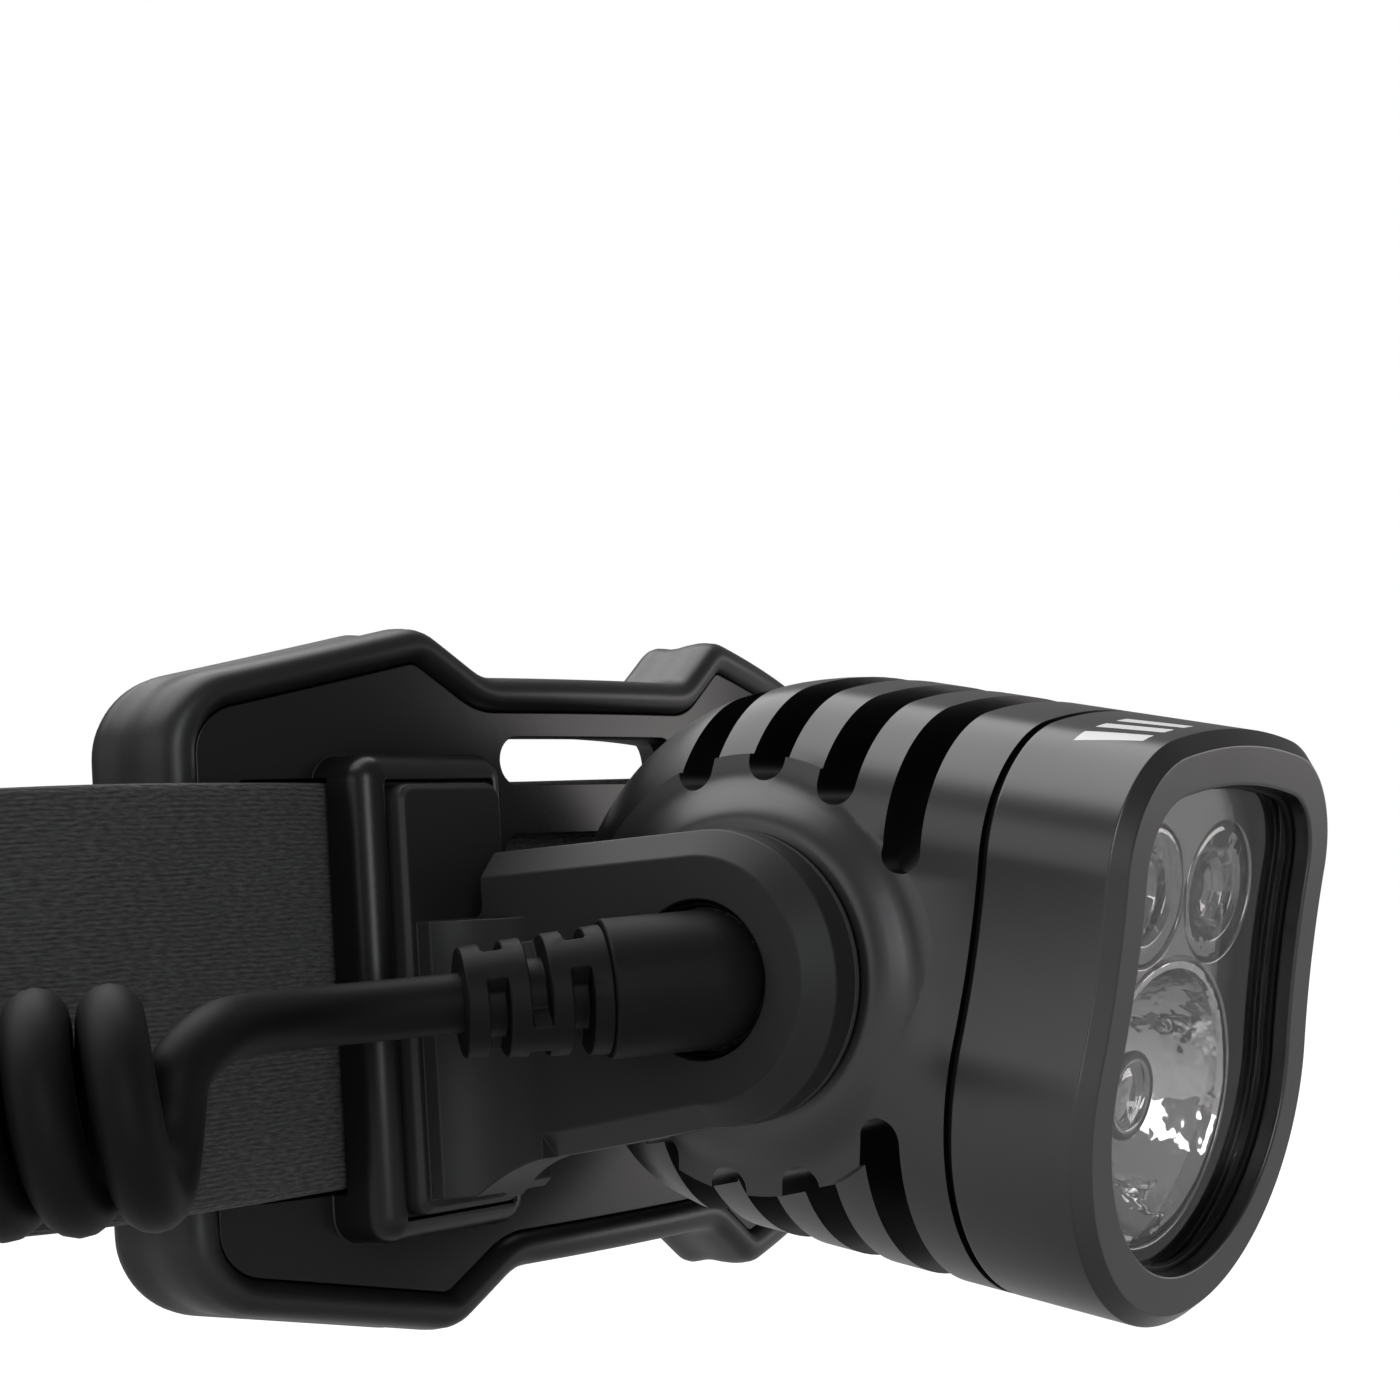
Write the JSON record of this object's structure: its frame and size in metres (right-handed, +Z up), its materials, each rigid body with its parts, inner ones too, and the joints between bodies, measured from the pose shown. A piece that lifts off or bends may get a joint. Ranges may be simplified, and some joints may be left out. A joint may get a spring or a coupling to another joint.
{
  "type": "headlamp",
  "caption": "Cabled headlamp: finned metal lamp head tilting between two bracket arms on a curved forehead plate with an elastic headband, coiled lead and plug.",
  "frame": {"origin": "middle of the forehead pad's back face, where it meets the forehead", "axes": "+X to the wearer's left, +Y towards the wearer, +Z up; the lamp shines along -Y and the cable is on the -X side"},
  "size_m": [0.2035, 0.2655, 0.0635],
  "materials": {
    "anodised": "hard anodised, satin black",
    "bezel_anodised": "hard anodised, satin black with a bright-cut edge",
    "arm_plastic": "fine spark-eroded texture",
    "plate_plastic": "satin moulded",
    "pad_rubber": "soft moulded rim",
    "webbing": "elastic webbing, ribbed",
    "cable_jacket": "matt jacket",
    "moulded_rubber": "matt moulded",
    "window_clear": "clear, hard coated",
    "lens_clear": "clear moulded acrylic",
    "reflector_metal": "vacuum metallised",
    "carrier_grey": "moulded grey",
    "led_phosphor": "phosphor under silicone",
    "board_white": "white solder mask on metal core",
    "board_green": "green solder mask",
    "steel": "zinc-nickel",
    "bush_polymer": "slide-grade polymer",
    "gap_pad": "soft filler",
    "button_rubber": "silicone",
    "fitting_plastic": "moulded acetal",
    "contact_gold": "gold flash"
  },
  "bodies": {
    "band_and_bracket": {"right_pivot_bush": "bush_polymer", "left_pivot_bush": "bush_polymer", "right_friction_washer": "bush_polymer", "left_friction_washer": "bush_polymer", "right_arm": "arm_plastic", "left_arm": "arm_plastic", "arm_screws": "steel", "forehead_plate": "plate_plastic", "forehead_pad": "pad_rubber", "headband": "webbing", "cable_clips": "fitting_plastic", "cable_stub": "moulded_rubber", "strain_relief": "moulded_rubber", "cable_lead_in": "cable_jacket", "cable_coil": "cable_jacket", "cable_lead": "cable_jacket", "cable_plug": "moulded_rubber", "plug_contacts": "contact_gold"},
    "lamp_head": {"heat_sink_housing": "anodised", "front_bezel": "bezel_anodised", "bezel_seal": "moulded_rubber", "window_gasket": "moulded_rubber", "window_lens": "window_clear", "optic_carrier": "carrier_grey", "spot_reflector": "reflector_metal", "flood_lens_right": "lens_clear", "flood_lens_left": "lens_clear", "spot_led": "led_phosphor", "flood_leds": "led_phosphor", "led_board": "board_white", "led_board_screws": "steel", "thermal_pad": "gap_pad", "driver_board": "board_green", "button_switch": "fitting_plastic"},
    "button": {"power_button": "button_rubber"},
    "adjuster": {"headband_adjuster": "fitting_plastic"},
    "collar": {"plug_collar": "fitting_plastic"}
  },
  "joints": [
    {"name": "lamp_tilt", "type": "hinge", "parent": "band_and_bracket", "child": "lamp_head", "pos_m": [0, -0.038, -0.0012], "axis": [1, 0, 0], "range_deg": [-22, 58]},
    {"name": "button_press", "type": "slide", "parent": "lamp_head", "child": "button", "axis": [-1, 0, 0], "range_m": [0, 0.0008], "stiffness_N_per_m": 2000},
    {"name": "adjuster_slide", "type": "slide", "parent": "band_and_bracket", "child": "adjuster", "axis": [0, 1, 0], "range_m": [-0.018, 0.018]},
    {"name": "collar_turn", "type": "hinge", "parent": "band_and_bracket", "child": "collar", "pos_m": [-0.05119, 0.17751, -0.0069], "axis": [0.6529, 0.7574, 0], "continuous": true}
  ]
}
